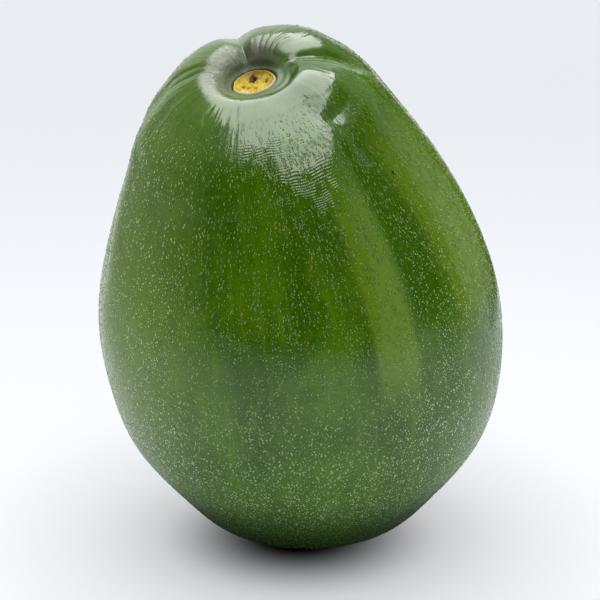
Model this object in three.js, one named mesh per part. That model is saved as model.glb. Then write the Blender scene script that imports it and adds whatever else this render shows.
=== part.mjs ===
// A smooth-skinned green avocado that stands on its blossom end. It has two pieces: the fruit, which is
// one solid with a stem cavity at its leaning top, and the cut stem button that plugs the socket there.
//
// Frame: millimetres, +Z up. The origin is the middle of the flat spot that the fruit stands on.
// -Y is the front, the side that the stem end leans towards, and +X is its right-hand side.
//
// How it is made: a straight fruit is turned as a lathe, ribs and lobes are raised on its skin by a
// formula, and the whole is then bent along a curved spine, because the real fruit grew lopsided.

import * as THREE from "three";

// Driving dimensions, in millimetres and degrees
const FRUIT_WIDTH = 92;
const AXIS_LENGTH = 111; // along the spine, from the flat spot to the face of the stem button
const REST_RADIUS = 9; // the flat spot
const DEPTH_SHARE = 0.98; // the fruit is a little flatter from front to back
const BUTTON_RADIUS = 4.9;
const BUTTON_ROOT = 4; // how deep the button's root goes
const BUTTON_SINKS = 0.1; // the button's face below the mouth of its socket
const SOCKET_GAP = 0.3;
const RIM_RISE = 1.9; // pulls up the rim of the stem cavity, above the button's face
const RIM_RADIUS = 9.2;
const SHOULDER_RADIUS = 15.5; // where the skin turns down outside the rim
const SHOULDER_RISE = 0.2;

// The spine rises straight, leans left, and nods forward at the stem end
const STEM_POINT = new THREE.Vector3(-11.9, -13.5, 111);
const STEM_AXIS = new THREE.Vector3(-0.16, -0.34, 0.927).normalize();
const BASE_STIFFNESS = 50; // how far the spine rises straight before it leans
const STEM_STIFFNESS = 49; // how far it runs straight below the stem
const BELLY_SHIFT = new THREE.Vector3(3, -2.7, 0);

// The mesh is finer round the stem end, where the folds are narrow
const SEGMENTS_AROUND = 88;
const BODY_STEPS = 27;
const STEM_STEPS = 22;
const STEM_FROM = 0.8; // share of the outline
const BUTTON_SEGMENTS = 40;

// Half of the straight fruit's outline, from the flat spot to the shoulder, as the points that pull
// a smooth curve: [share of half the width, share of the axis length]
const BODY_PULLS = [
  [0.49, 0.012],
  [0.655, 0.075],
  [0.904, 0.175],
  [0.98, 0.3],
  [1.013, 0.42],
  [1.004, 0.54],
  [0.936, 0.67],
  [0.82, 0.79],
  [0.68, 0.89],
  [0.577, 0.965],
];

// Lobes, ridges and grooves of the skin. at: angle from the front at the rim, positive to the right.
// turn: how many degrees it would drift on its way to the blossom end. wide: half its width in
// degrees. high: how far it stands out, and a groove is negative. from and to: its ends, as shares
// of the way from the flat spot to the socket. fade: how softly it ends.
const FOLDS = {
  backLip: { at: 178, turn: 0, wide: 80, high: 2.2, from: 0.89, to: 0.985, fade: 0.03 },
  leftLip: { at: -80, turn: 0, wide: 45, high: 0.9, from: 0.91, to: 0.985, fade: 0.025 },
  backRightLobe: { at: 142, turn: 0, wide: 24, high: 1.1, from: 0.82, to: 0.975, fade: 0.05 },
  rightLobe: { at: 66, turn: 0, wide: 28, high: 1.9, from: 0.84, to: 0.965, fade: 0.03 },
  leftBackLobe: { at: -140, turn: 0, wide: 26, high: 0.7, from: 0.84, to: 0.975, fade: 0.05 },
  backNotch: { at: -170, turn: 0, wide: 9, high: -1.3, from: 0.88, to: 0.985, fade: 0.03 },
  lobeGroove: { at: 108, turn: 0, wide: 9, high: -1.1, from: 0.87, to: 0.975, fade: 0.03 },
  frontHollow: { at: 40, turn: 0, wide: 13, high: -1.0, from: 0.87, to: 0.925, fade: 0.03 },
  backSwell: { at: 175, turn: 0, wide: 80, high: 1.7, from: 0.66, to: 0.94, fade: 0.14 },
  rightFlank: { at: 90, turn: 0, wide: 60, high: -3.0, from: 0.5, to: 0.92, fade: 0.2 },
  rightRidge: { at: 44, turn: -44, wide: 8, high: 0.5, from: 0.46, to: 0.86, fade: 0.1 },
  rightGroove: { at: 66, turn: -46, wide: 9, high: -0.5, from: 0.42, to: 0.9, fade: 0.1 },
  leftRidge: { at: -98, turn: 60, wide: 10, high: 0.5, from: 0.5, to: 0.94, fade: 0.08 },
  leftCrease: { at: -113, turn: 75, wide: 8, high: -0.8, from: 0.6, to: 0.96, fade: 0.06 },
};

// A uniform cubic B-spline through no corner: it passes its first and last points and is pulled by
// the others, with curvature that never jumps, so that the skin has no visible rings.
class PulledCurve extends THREE.Curve {
  constructor(pulls) {
    super();
    const first = pulls[0];
    const last = pulls[pulls.length - 1];
    const before = first.clone().multiplyScalar(2).sub(pulls[1]);
    const after = last.clone().multiplyScalar(2).sub(pulls[pulls.length - 2]);
    this.pulls = [before, ...pulls, after];
  }

  getPoint(t, target = new THREE.Vector2()) {
    const spans = this.pulls.length - 3;
    const span = Math.min(Math.floor(t * spans), spans - 1);
    const s = t * spans - span;
    const weights = [
      (1 - s) ** 3 / 6,
      (3 * s ** 3 - 6 * s ** 2 + 4) / 6,
      (-3 * s ** 3 + 3 * s ** 2 + 3 * s + 1) / 6,
      s ** 3 / 6,
    ];
    target.set(0, 0);
    weights.forEach((weight, i) => target.addScaledVector(this.pulls[span + i], weight));
    return target;
  }
}

// The straight fruit's outline, from the flat spot over the rim to the mouth of the socket
function bodyOutline() {
  const pulls = BODY_PULLS.map(([r, z]) => new THREE.Vector2((r * FRUIT_WIDTH) / 2, z * AXIS_LENGTH));
  const socketRadius = BUTTON_RADIUS + SOCKET_GAP;
  pulls.unshift(new THREE.Vector2(REST_RADIUS, 0));
  pulls.push(new THREE.Vector2(SHOULDER_RADIUS, AXIS_LENGTH + SHOULDER_RISE));
  pulls.push(new THREE.Vector2(RIM_RADIUS + 2.6, AXIS_LENGTH + 0.85 * RIM_RISE));
  pulls.push(new THREE.Vector2(RIM_RADIUS, AXIS_LENGTH + RIM_RISE));
  pulls.push(new THREE.Vector2(socketRadius + 1.5, AXIS_LENGTH + 0.5));
  pulls.push(new THREE.Vector2(socketRadius, AXIS_LENGTH + BUTTON_SINKS));
  return new PulledCurve(pulls);
}

const smoothstep = THREE.MathUtils.smoothstep;

// How far the skin stands out at an angle from the front and a share of the way up the outline
function relief(angle, share) {
  let out = 0;
  for (const fold of Object.values(FOLDS)) {
    const centre = fold.at + fold.turn * (1 - share);
    const off = THREE.MathUtils.euclideanModulo(angle - centre + 180, 360) - 180;
    const across = Math.exp(-((off / fold.wide) ** 2));
    const along =
      smoothstep(share, fold.from - fold.fade, fold.from + fold.fade) *
      (1 - smoothstep(share, fold.to - fold.fade, fold.to + fold.fade));
    out += fold.high * across * along;
  }
  return out;
}

const spine = new THREE.CubicBezierCurve3(
  new THREE.Vector3(0, 0, 0),
  new THREE.Vector3(0, 0, BASE_STIFFNESS),
  STEM_POINT.clone().addScaledVector(STEM_AXIS, -STEM_STIFFNESS).add(BELLY_SHIFT),
  STEM_POINT,
);

// Carries a point of the straight fruit to its place beside the spine
function bend(point) {
  const up = new THREE.Vector3(0, 0, 1);
  const share = THREE.MathUtils.clamp(point.z / AXIS_LENGTH, 0, 1);
  const tangent = spine.getTangent(share);
  const beyond = point.z - share * AXIS_LENGTH;
  const across = new THREE.Vector3(point.x, point.y, beyond);
  across.applyQuaternion(new THREE.Quaternion().setFromUnitVectors(up, tangent));
  return spine.getPoint(share).add(across);
}

// Moves each vertex of a lathe, which three.js turns about Y, into the fruit's frame, and raises it
// along its normal by a distance that depends on its angle from the front and its ring
function place(geometry, rings, raise) {
  geometry.rotateX(Math.PI / 2);
  const position = geometry.getAttribute("position");
  const normal = geometry.getAttribute("normal");
  const uv = geometry.getAttribute("uv");
  const point = new THREE.Vector3();
  const outward = new THREE.Vector3();
  for (let i = 0; i < position.count; i++) {
    point.fromBufferAttribute(position, i);
    const angle = THREE.MathUtils.radToDeg(Math.atan2(point.x, -point.y));
    outward.fromBufferAttribute(normal, i);
    const ring = Math.round(uv.getY(i) * (rings.length - 1));
    point.addScaledVector(outward, raise(angle, ring));
    point.y *= DEPTH_SHARE;
    const bent = bend(point);
    position.setXYZ(i, bent.x, bent.y, bent.z);
  }
  geometry.computeVertexNormals();
  return geometry;
}

// Shares of the outline at which the fruit has a ring of vertices
function ringShares() {
  const shares = [];
  for (let i = 0; i < BODY_STEPS; i++) {
    shares.push((STEM_FROM * i) / BODY_STEPS);
  }
  for (let i = 0; i <= STEM_STEPS; i++) {
    shares.push(STEM_FROM + ((1 - STEM_FROM) * i) / STEM_STEPS);
  }
  return shares;
}

// The fruit's ring of vertices number 0 is the middle of the flat spot, so its skin starts at 1
function fruit() {
  const outline = bodyOutline();
  const shares = ringShares();
  const socketFloor = AXIS_LENGTH - BUTTON_ROOT - SOCKET_GAP;
  const points = [
    new THREE.Vector2(0, 0),
    ...shares.map((share) => outline.getPointAt(share)),
    new THREE.Vector2(BUTTON_RADIUS * 0.9 + SOCKET_GAP, socketFloor),
    new THREE.Vector2(0, socketFloor),
  ];
  const raise = (angle, ring) => {
    const share = shares[ring - 1];
    return share > 0 && share < 1 ? relief(angle, share) : 0;
  };
  const skin = new THREE.MeshStandardMaterial({ color: 0x3c5f12, roughness: 0.3 });
  const lathe = new THREE.LatheGeometry(points, SEGMENTS_AROUND);
  const mesh = new THREE.Mesh(place(lathe, points, raise), skin);
  mesh.name = "fruit";
  return mesh;
}

// The stub of the stem, cut level: its face is slightly dished inside a raised rim
function stemButton() {
  const face = AXIS_LENGTH;
  const points = [
    new THREE.Vector2(0, face - BUTTON_ROOT),
    new THREE.Vector2(BUTTON_RADIUS * 0.9, face - BUTTON_ROOT),
    new THREE.Vector2(BUTTON_RADIUS, face - 0.2),
    new THREE.Vector2(BUTTON_RADIUS * 0.95, face + 0.3),
    new THREE.Vector2(BUTTON_RADIUS * 0.84, face + 0.25),
    new THREE.Vector2(BUTTON_RADIUS * 0.6, face - 0.2),
    new THREE.Vector2(0, face - 0.3),
  ];
  const wood = new THREE.MeshStandardMaterial({ color: 0xd8a83c, roughness: 0.75 });
  const lathe = new THREE.LatheGeometry(points, BUTTON_SEGMENTS);
  const mesh = new THREE.Mesh(place(lathe, points, () => 0), wood);
  mesh.name = "stem_button";
  return mesh;
}

const avocado = new THREE.Group();
avocado.add(fruit(), stemButton());

export default avocado;
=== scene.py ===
# %% [markdown]
# # A large green avocado standing on its blossom end
#
# This lesson dresses one fruit for a close look. The fruit came from the CAD side as two solids: the
# whole fruit, and the cut stub of its stem. They fix the size and the place of everything. Here we
# grow a finer skin over the same shape, sprinkle it with tens of thousands of raised pores, carve the
# woody stem stub, and give it all the waxy green look with its soft studio reflections.
#
# We load the CAD model as a fixed frame.

import math

import bpy
import numpy as np
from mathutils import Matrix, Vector


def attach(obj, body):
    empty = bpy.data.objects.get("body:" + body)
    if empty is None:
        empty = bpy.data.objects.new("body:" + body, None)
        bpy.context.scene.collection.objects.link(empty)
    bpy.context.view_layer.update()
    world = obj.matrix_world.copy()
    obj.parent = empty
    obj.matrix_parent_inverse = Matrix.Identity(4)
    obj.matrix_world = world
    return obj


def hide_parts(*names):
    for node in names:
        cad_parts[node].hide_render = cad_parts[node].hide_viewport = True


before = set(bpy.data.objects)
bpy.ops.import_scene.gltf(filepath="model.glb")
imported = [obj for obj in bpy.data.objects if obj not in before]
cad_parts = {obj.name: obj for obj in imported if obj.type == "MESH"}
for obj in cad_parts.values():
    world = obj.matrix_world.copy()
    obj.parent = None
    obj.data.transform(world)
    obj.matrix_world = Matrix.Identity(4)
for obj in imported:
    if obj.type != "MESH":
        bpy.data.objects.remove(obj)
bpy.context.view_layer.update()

# %% [markdown]
# ## The camera
#
# The photograph was taken from a little above, with a long lens, so that the sides of the fruit hardly
# converge. A wider lens close by would swell the belly and shrink the neck. The frame is about 137 mm
# wide at the middle of the fruit, and that together with the distance gives the focal length.

# %% Camera at the photograph's angle
CAMERA_DISTANCE = 0.6
CAMERA_ELEVATION = 20
FRAME_WIDTH = 0.1373
SENSOR_WIDTH = 36
AIM = Vector((-0.0019, 0, 0.05575))


def new_object(name, data):
    """Puts a camera, mesh or lamp into the scene."""
    thing = bpy.data.objects.new(name, data)
    bpy.context.collection.objects.link(thing)
    return thing


lens_data = bpy.data.cameras.new("still_life_camera")
lens_data.sensor_width = SENSOR_WIDTH
lens_data.lens = SENSOR_WIDTH * CAMERA_DISTANCE / FRAME_WIDTH
lens_data.clip_start = 0.01
lens_data.clip_end = 30
camera = new_object("still_life_camera", lens_data)
tilt = math.radians(CAMERA_ELEVATION)
camera.location = AIM + CAMERA_DISTANCE * Vector((0, -math.cos(tilt), math.sin(tilt)))
camera.rotation_euler = (math.radians(90 - CAMERA_ELEVATION), 0, 0)
bpy.context.scene.camera = camera
print("lens in mm:", round(lens_data.lens, 1))

# %% [markdown]
# ## The shape of the fruit as a rule
#
# A pear-shaped fruit is nearly a solid of revolution that has grown crooked. A rule is easy to keep in
# step with the CAD solid: turn a smooth outline, push lobes and ridges out of it, and bend the result
# along a curved spine. These are the driving sizes in millimetres, the same that the CAD source names.

# %% Driving sizes of the fruit
MM = 0.001
FRUIT_WIDTH = 92
AXIS_LENGTH = 111
REST_RADIUS = 9
DEPTH_SHARE = 0.98
BUTTON_RADIUS = 4.9
BUTTON_ROOT = 4
BUTTON_SINKS = 0.1
SOCKET_GAP = 0.3
RIM_RISE = 1.9
RIM_RADIUS = 9.2
SHOULDER_RADIUS = 15.5
SHOULDER_RISE = 0.2
STEM_POINT = np.array([-11.9, -13.5, 111.0])
STEM_AXIS = np.array([-0.16, -0.34, 0.927])
STEM_AXIS /= np.linalg.norm(STEM_AXIS)
BASE_STIFFNESS = 50
STEM_STIFFNESS = 49
BELLY_SHIFT = np.array([3, -2.7, 0])

# [share of half the width, share of the axis length] of each point that pulls the outline
BODY_PULLS = [
    [0.49, 0.012], [0.655, 0.075], [0.904, 0.175], [0.98, 0.3], [1.013, 0.42],
    [1.004, 0.54], [0.936, 0.67], [0.82, 0.79], [0.68, 0.89], [0.577, 0.965],
]
print("fruit axis in mm:", AXIS_LENGTH)

# %% [markdown]
# ### The outline
#
# A B-spline is pulled towards its points but passes through none of them except the ends, so its
# curvature never jumps and a glossy skin shows no rings. We sample it very finely, then read points
# off it by arc length. A share of 0 is the edge of the flat spot and 1 is the mouth of the stem socket.

# %% The outline to be turned
def pulled_curve(pulls, t):
    pulls = np.array(pulls, float)
    pulls = np.vstack([2 * pulls[0] - pulls[1], pulls, 2 * pulls[-1] - pulls[-2]])
    spans = len(pulls) - 3
    span = np.minimum((t * spans).astype(int), spans - 1)
    s = t * spans - span
    weights = [
        (1 - s) ** 3 / 6,
        (3 * s**3 - 6 * s**2 + 4) / 6,
        (-3 * s**3 + 3 * s**2 + 3 * s + 1) / 6,
        s**3 / 6,
    ]
    return sum(w[:, None] * pulls[span + i] for i, w in enumerate(weights))


socket_radius = BUTTON_RADIUS + SOCKET_GAP
outline_pulls = [[REST_RADIUS, 0]]
outline_pulls += [[r * FRUIT_WIDTH / 2, z * AXIS_LENGTH] for r, z in BODY_PULLS]
outline_pulls += [
    [SHOULDER_RADIUS, AXIS_LENGTH + SHOULDER_RISE],
    [RIM_RADIUS + 2.6, AXIS_LENGTH + 0.85 * RIM_RISE],
    [RIM_RADIUS, AXIS_LENGTH + RIM_RISE],
    [socket_radius + 1.5, AXIS_LENGTH + 0.5],
    [socket_radius, AXIS_LENGTH + BUTTON_SINKS],
]
fine_outline = pulled_curve(outline_pulls, np.linspace(0, 1, 6000))
walked = np.concatenate([[0], np.cumsum(np.linalg.norm(np.diff(fine_outline, axis=0), axis=1))])
OUTLINE_LENGTH = walked[-1]


def outline_at(shares):
    """Radius and height at shares of the outline, and the outward normals there."""

    def read(along):
        return np.stack([np.interp(along, walked, fine_outline[:, i]) for i in (0, 1)], -1)

    along, step = shares * OUTLINE_LENGTH, OUTLINE_LENGTH / 2000
    ahead = read(np.minimum(along + step, OUTLINE_LENGTH)) - read(np.maximum(along - step, 0))
    ahead /= np.linalg.norm(ahead, axis=-1, keepdims=True)
    return read(along), np.stack([ahead[:, 1], -ahead[:, 0]], -1)


print("outline length in mm:", round(OUTLINE_LENGTH, 1))

# %% [markdown]
# ### A mesh from rings
#
# The skin and the stem stub are both closed stacks of rings, with one point at each end. This helper
# turns such a stack into a mesh, in metres. A second one writes numbers on the points, which the node
# trees and the materials follow: where each point lies round the fruit and along it.

# %% Ring mesh helper
def ring_mesh(name, rings, first, last):
    """rings: an array (rings, around, 3) in mm, from bottom to top. first and last close the ends."""
    count, around, _ = rings.shape
    points = np.vstack([[first], rings.reshape(-1, 3), [last]]) * MM
    index = 1 + np.arange(count * around).reshape(count, around)
    ahead = np.roll(index, -1, axis=1)
    quads = np.stack([index[:-1], ahead[:-1], ahead[1:], index[1:]], -1).reshape(-1, 4)
    top = len(points) - 1
    faces = [(0, int(b), int(a)) for a, b in zip(index[0], ahead[0])]
    faces += [tuple(map(int, q)) for q in quads]
    faces += [(top, int(a), int(b)) for a, b in zip(index[-1], ahead[-1])]
    mesh = bpy.data.meshes.new(name)
    mesh.from_pydata([tuple(p) for p in points], [], faces)
    mesh.polygons.foreach_set("use_smooth", [True] * len(mesh.polygons))
    return new_object(name, mesh)


def write_numbers(thing, name, values):
    values = np.asarray(values, np.float32)
    kind, key = ("FLOAT", "value") if values.ndim == 1 else ("FLOAT_VECTOR", "vector")
    layer = thing.data.attributes.new(name, kind, "POINT")
    layer.data.foreach_set(key, values.ravel())


print("ring meshes are ready")

# %% [markdown]
# ### The straight fruit
#
# First comes a plain turned body without folds, as if the fruit had grown straight. The rings are
# closer together near the stem, where the folds are narrow. Each point also remembers the outward
# direction, because the folds are pushed out along it. At the top the skin drops into the socket.

# %% Turn the straight fruit
AROUND = 400
BODY_RINGS = 104
STEM_RINGS = 130
STEM_FROM = 0.78

shares = np.concatenate([
    np.linspace(0, STEM_FROM, BODY_RINGS, endpoint=False),
    np.linspace(STEM_FROM, 1, STEM_RINGS),
])
profile, outward = outline_at(shares)
socket_floor = AXIS_LENGTH - BUTTON_ROOT - SOCKET_GAP
floor_radius = BUTTON_RADIUS * 0.9 + SOCKET_GAP
below = [[1.5, 0], [4, 0], [6.5, 0]]
inside = [
    [BUTTON_RADIUS + 0.08, AXIS_LENGTH - 0.14],
    [BUTTON_RADIUS + 0.12, AXIS_LENGTH - 0.9],
    [floor_radius, socket_floor],
    [floor_radius / 2, socket_floor],
]
profile = np.vstack([below, profile, inside])
outward = np.vstack([np.zeros((3, 2)), outward, np.zeros((4, 2))])
ring_share = np.concatenate([[-0.09, -0.06, -0.03], shares, [1.005, 1.01, 1.02, 1.025]])


def turned(radius_and_height, turn):
    """Rings from pairs of radius and height, at turns in radians from the front."""
    radius, height = radius_and_height[:, :1], radius_and_height[:, 1:]
    up = np.broadcast_to(height, (len(height), len(turn)))
    return np.stack([radius * np.sin(turn), -DEPTH_SHARE * radius * np.cos(turn), up], -1)


turn = np.radians(np.linspace(-180, 180, AROUND, endpoint=False))
skin = ring_mesh("avocado_skin", turned(profile, turn), (0, 0, 0), (0, 0, socket_floor))
every_turn = np.concatenate([[0], np.tile(turn, len(ring_share)), [0]])
every_share = np.concatenate([[-0.1], np.repeat(ring_share, AROUND), [1.03]])
write_numbers(skin, "grown", np.stack([np.sin(every_turn), -np.cos(every_turn), every_share], -1))
every_outward = turned(outward, turn).reshape(-1, 3)
write_numbers(skin, "outward", np.vstack([[[0, 0, 0]], every_outward, [[0, 0, 0]]]))
print("straight fruit faces:", len(skin.data.polygons))

# %% [markdown]
# ## Writing node trees as plain arithmetic
#
# Written node by node, Blender's node trees are long and hard to read, so this small class wraps one
# socket and lets us add, multiply and divide it like a number. Every operation adds one Math node. The
# same class serves Geometry Nodes and materials.

# %% Socket arithmetic
class Flow:
    """One socket of a node tree that can be used in an expression."""

    def __init__(self, tree, node, socket):
        self.tree, self.node, self.socket = tree, node, socket

    def __getitem__(self, name):
        return Flow(self.tree, self.node, self.node.outputs[name])

    def __add__(self, other):
        return maths("ADD", self, other)

    def __radd__(self, other):
        return maths("ADD", other, self)

    def __sub__(self, other):
        return maths("SUBTRACT", self, other)

    def __rsub__(self, other):
        return maths("SUBTRACT", other, self)

    def __mul__(self, other):
        return maths("MULTIPLY", self, other)

    def __rmul__(self, other):
        return maths("MULTIPLY", other, self)

    def __truediv__(self, other):
        return maths("DIVIDE", self, other)

    def __neg__(self):
        return maths("MULTIPLY", self, -1)


def node(tree, kind, settings=None, values=None, out=0):
    """Adds any node. Its settings are set first, then the values or links of its sockets."""
    made = tree.nodes.new(kind)
    for key, value in (settings or {}).items():
        setattr(made, key, value)
    for key, value in (values or {}).items():
        if isinstance(value, Flow):
            tree.links.new(value.socket, made.inputs[key])
        else:
            made.inputs[key].default_value = value
    return Flow(tree, made, made.outputs[out] if len(made.outputs) else None)


def maths(operation, *terms):
    tree = next(t.tree for t in terms if isinstance(t, Flow))
    return node(tree, "ShaderNodeMath", {"operation": operation}, dict(enumerate(terms)))


def fade(value, low, high):
    """0 below low, 1 above high, and soft between. low may be the larger of the two."""
    if low > high:
        return 1 - fade(value, high, low)
    settings = {"interpolation_type": "SMOOTHSTEP"}
    return node(value.tree, "ShaderNodeMapRange", settings, {0: value, 1: low, 2: high})


def vector(operation, *terms, out=0):
    settings = {"operation": operation}
    return node(terms[0].tree, "ShaderNodeVectorMath", settings, dict(enumerate(terms)), out)


def scaled(a, by):
    return node(a.tree, "ShaderNodeVectorMath", {"operation": "SCALE"}, {0: a, "Scale": by})


def length(a):
    return vector("LENGTH", a, out=1)


def joined(tree, x, y, z):
    return node(tree, "ShaderNodeCombineXYZ", {}, {0: x, 1: y, 2: z})


def parted(a):
    three = node(a.tree, "ShaderNodeSeparateXYZ", {}, {0: a})
    return three["X"], three["Y"], three["Z"]


def noise(place, scale=1.0, detail=1.0, rough=0.5):
    values = {"Vector": place, "Scale": scale, "Detail": detail, "Roughness": rough}
    return node(place.tree, "ShaderNodeTexNoise", {}, values)


print("socket arithmetic is ready")

# %% [markdown]
# ## Growing the fruit with Geometry Nodes
#
# The skin is the main piece and its shape follows a rule, so Geometry Nodes grow it: the tree reads
# where each point lies on the straight fruit, works out how far the folds push it out, and bends the
# whole. These helpers start a tree with named inputs, end it with real geometry and a material, and run
# it once, so that what is left is a plain mesh.

# %% Tree helpers
def new_tree(name, inputs):
    tree = bpy.data.node_groups.new(name, "GeometryNodeTree")
    tree.interface.new_socket("Geometry", in_out="INPUT", socket_type="NodeSocketGeometry")
    for label, value in inputs.items():
        kind = "NodeSocketInt" if isinstance(value, int) else "NodeSocketFloat"
        tree.interface.new_socket(label, in_out="INPUT", socket_type=kind).default_value = value
    tree.interface.new_socket("Geometry", in_out="OUTPUT", socket_type="NodeSocketGeometry")
    return tree, node(tree, "NodeGroupInput")


def close_tree(shape, material):
    real = node(shape.tree, "GeometryNodeRealizeInstances", {}, {"Geometry": shape})
    worn = node(shape.tree, "GeometryNodeSetMaterial", {}, {"Geometry": real, "Material": material})
    node(shape.tree, "NodeGroupOutput", {}, {"Geometry": worn})


def named(tree, name):
    return node(tree, "GeometryNodeInputNamedAttribute", {"data_type": "FLOAT_VECTOR"}, {"Name": name})


def run_tree(thing, tree, inputs):
    """Runs a tree on an object and returns the result as a plain mesh."""
    modifier = thing.modifiers.new(tree.name, "NODES")
    modifier.node_group = tree
    for item in tree.interface.items_tree:
        if item.in_out == "INPUT" and item.name in inputs:
            modifier[item.identifier] = inputs[item.name]
    graph = bpy.context.evaluated_depsgraph_get()
    mesh = bpy.data.meshes.new_from_object(thing.evaluated_get(graph))
    thing.modifiers.remove(modifier)
    mesh.polygons.foreach_set("use_smooth", [True] * len(mesh.polygons))
    return mesh


skin_wax = bpy.data.materials.new("green_waxy_skin")
stem_wood = bpy.data.materials.new("cut_stem_wood")
pore_cork = bpy.data.materials.new("pale_pore_cork")
print("materials to fill in:", [m.name for m in (skin_wax, stem_wood, pore_cork)])

# %% [markdown]
# ### Lobes, ridges and creases
#
# Round the stem the fruit is drawn in like a purse, with lobes, notches and grooves. Lower down, two
# ridges and two grooves run towards the blossom end. Each fold is a soft bump across an angle, faded
# in and out along the outline. The first table is the CAD solid's own. The second holds creases that are
# too narrow or too shallow for the solid, and that only this finer mesh can carry.

# %% Tables of folds
# Angle from the front, drift towards the blossom end, half width in degrees, height in millimetres,
# first and last share of the outline, softness of the ends
FOLDS = {
    "back lip": (178, 0, 80, 2.2, 0.89, 0.985, 0.03),
    "left lip": (-80, 0, 45, 0.9, 0.91, 0.985, 0.025),
    "back right lobe": (142, 0, 24, 1.1, 0.82, 0.975, 0.05),
    "right lobe": (66, 0, 28, 1.9, 0.84, 0.965, 0.03),
    "left back lobe": (-140, 0, 26, 0.7, 0.84, 0.975, 0.05),
    "back notch": (-170, 0, 9, -1.3, 0.88, 0.985, 0.03),
    "lobe groove": (108, 0, 9, -1.1, 0.87, 0.975, 0.03),
    "front hollow": (40, 0, 13, -1.0, 0.87, 0.925, 0.03),
    "back swell": (175, 0, 80, 1.7, 0.66, 0.94, 0.14),
    "right flank": (90, 0, 60, -3.0, 0.5, 0.92, 0.2),
    "right ridge": (44, -44, 8, 0.5, 0.46, 0.86, 0.1),
    "right groove": (66, -46, 9, -0.5, 0.42, 0.9, 0.1),
    "left ridge": (-98, 60, 10, 0.5, 0.5, 0.94, 0.08),
    "left crease": (-113, 75, 8, -0.8, 0.6, 0.96, 0.06),
}
CREASES = {
    "shoulder crease": (-111, 70, 2.2, -0.4, 0.78, 0.955, 0.03),
    "shoulder crease lip": (-105, 70, 2.6, 0.25, 0.8, 0.95, 0.03),
    "second shoulder crease": (-120, 70, 2.0, -0.25, 0.82, 0.95, 0.03),
    "lobe crease": (112, 0, 2.2, -0.4, 0.885, 0.97, 0.015),
    "lobe crease lip": (104, 0, 3, 0.25, 0.89, 0.965, 0.015),
    "front nick": (-17, 0, 2.2, -0.08, 0.93, 0.975, 0.012),
    "notch crease": (-171, 0, 2.5, -0.4, 0.9, 0.98, 0.02),
    "lobe foot": (60, 0, 32, -0.85, 0.966, 0.983, 0.006),
    "lobe brow": (62, 0, 26, 0.25, 0.918, 0.958, 0.015),
    "hollow near side": (34, 0, 9, 0.35, 0.87, 0.915, 0.02),
    "collar groove": (-5, 0, 50, -0.16, 0.978, 0.987, 0.004),
}


def fold_height(folds, angle, share):
    """How far a table of folds pushes the skin out, as an expression of angle and share."""
    total = share * 0
    for at, drift, wide, high, start, end, soft in folds.values():
        off = maths("WRAP", angle + share * drift - (at + drift), 180, -180)
        across = maths("EXPONENT", off * off * (-1 / wide**2))
        along = fade(share, start - soft, start + soft) * fade(share, end + soft, end - soft)
        total = total + across * along * high
    return total


print("folds:", len(FOLDS), "fine creases:", len(CREASES))

# %% [markdown]
# ### The bend
#
# The spine is one Bezier curve. Every level of the straight fruit is carried to its place on the spine
# and turned by the smallest turn that makes it square to the spine, so nothing twists. The bend is a
# helper of its own, because the stem stub has to go through the very same bend.

# %% Bend tree
SPINE = np.array([
    [0, 0, 0],
    [0, 0, BASE_STIFFNESS],
    STEM_POINT - STEM_STIFFNESS * STEM_AXIS + BELLY_SHIFT,
    STEM_POINT,
]) * MM


def polynomial(u, terms):
    total = float(terms[-1]) + u * 0
    for term in reversed(terms[:-1]):
        total = total * u + float(term)
    return total


def bent(place):
    """Where a point of the straight fruit lands beside the spine."""
    a, b, c, d = SPINE
    x, y, z = parted(place)
    u = node(place.tree, "ShaderNodeClamp", {}, {0: z / (AXIS_LENGTH * MM)})
    powers = np.array([a, 3 * (b - a), 3 * (a - 2 * b + c), d - 3 * c + 3 * b - a])
    speeds = powers[1:] * np.array([[1], [2], [3]])
    centre = joined(place.tree, *(polynomial(u, powers[:, i]) for i in range(3)))
    ahead = joined(place.tree, *(polynomial(u, speeds[:, i]) for i in range(3)))
    ahead_x, ahead_y, ahead_z = parted(vector("NORMALIZE", ahead))
    flat = joined(place.tree, x, y, z - u * (AXIS_LENGTH * MM))
    pivot = joined(place.tree, -ahead_y, ahead_x, 0.0)
    dot = vector("DOT_PRODUCT", pivot, flat, out=1)
    swung = vector("ADD", scaled(flat, ahead_z), vector("CROSS_PRODUCT", pivot, flat))
    swung = vector("ADD", swung, scaled(pivot, dot / (1 + ahead_z)))
    return vector("ADD", centre, swung)


def position(tree):
    return node(tree, "GeometryNodeInputPosition")


def moved(shape, place):
    values = {"Geometry": shape, "Position": place}
    return node(shape.tree, "GeometryNodeSetPosition", {}, values)


stub_tree, stub_in = new_tree("bent_stem_stub", {})
close_tree(moved(stub_in["Geometry"], bent(position(stub_tree))), stem_wood)
print("bend tree nodes:", len(stub_tree.nodes))

# %% [markdown]
# ### The hollow, and the pleats of the stem cavity
#
# Below the right lobe lies a hollow, steep above and on the left and slow below and on the right, so it
# gets an expression of its own. In the stem cavity the skin is gathered into fine radial pleats. They
# repeat round the stem, so they are a wave of the angle, with uneven spacing and depth from slow noise.
# Their number and depth are inputs of the tree.

# %% Hollow and pleats
HOLLOW_DEPTH = 1.1
PLEATED_WALL = 150
SMOOTH_LOBE = 62

pleat_inputs = {"Pleats": 38, "Pleat depth": 0.0001, "Wrinkles": 76, "Wrinkle depth": 0.000004}
skin_tree, skin_in = new_tree("avocado_skin", pleat_inputs)
round_x, round_y, share = parted(named(skin_tree, "grown"))
turn_here = maths("ARCTAN2", round_x, -round_y)
angle = turn_here * math.degrees(1)

hollow = fade(share, 0.73, 0.88) * fade(share, 0.905, 0.881)
hollow = hollow * fade(angle, 38, 51) * fade(angle, 102, 57)

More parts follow.
